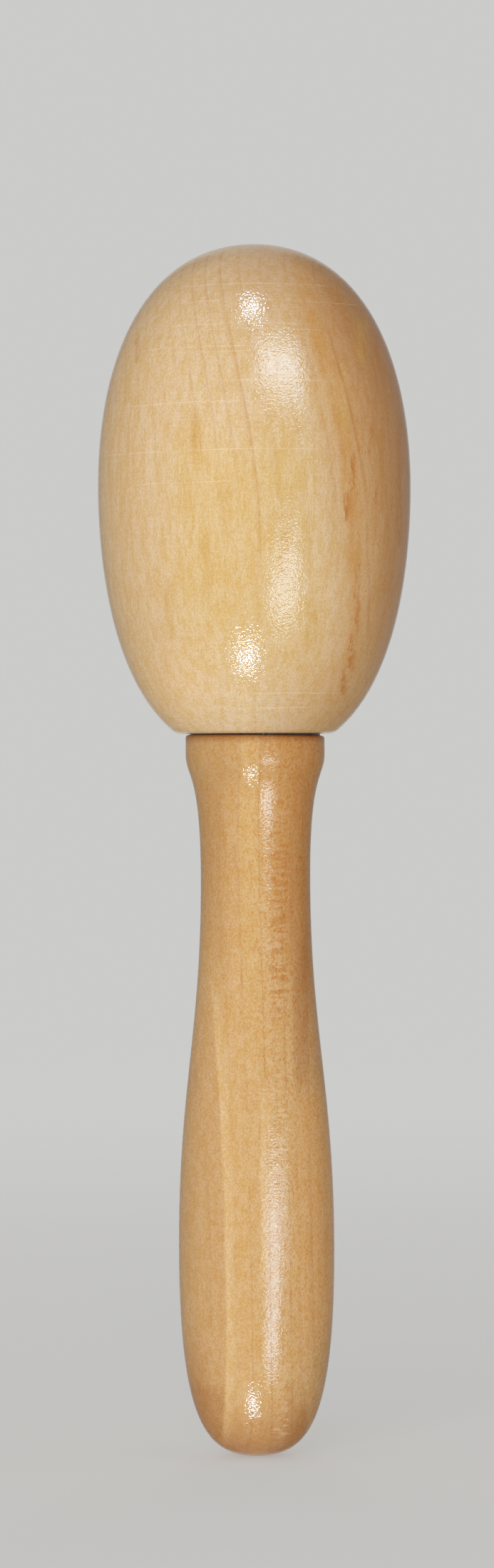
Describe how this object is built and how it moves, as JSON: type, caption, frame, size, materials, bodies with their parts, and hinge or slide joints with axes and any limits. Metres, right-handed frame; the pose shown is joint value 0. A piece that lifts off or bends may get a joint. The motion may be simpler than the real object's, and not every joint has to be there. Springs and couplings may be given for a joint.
{
  "type": "darning egg",
  "caption": "Turned hardwood darning egg: a flat-bottomed egg glued on the tenon of a slim waisted handle, clear gloss lacquer.",
  "frame": {"origin": "the end of the handle's round butt, on the turning axis", "axes": "+Z along the turning axis from the butt to the egg's crown; +X to the right in the picture; -Y towards its camera"},
  "size_m": [0.0508, 0.0508, 0.1966],
  "materials": {
    "egg_wood": "pale maple-like hardwood, clear gloss lacquer with a fine orange peel",
    "handle_wood": "flecked honey-tan hardwood, clear gloss lacquer with a fine orange peel"
  },
  "bodies": {
    "root": {"egg": "egg_wood", "handle": "handle_wood"}
  },
  "joints": []
}
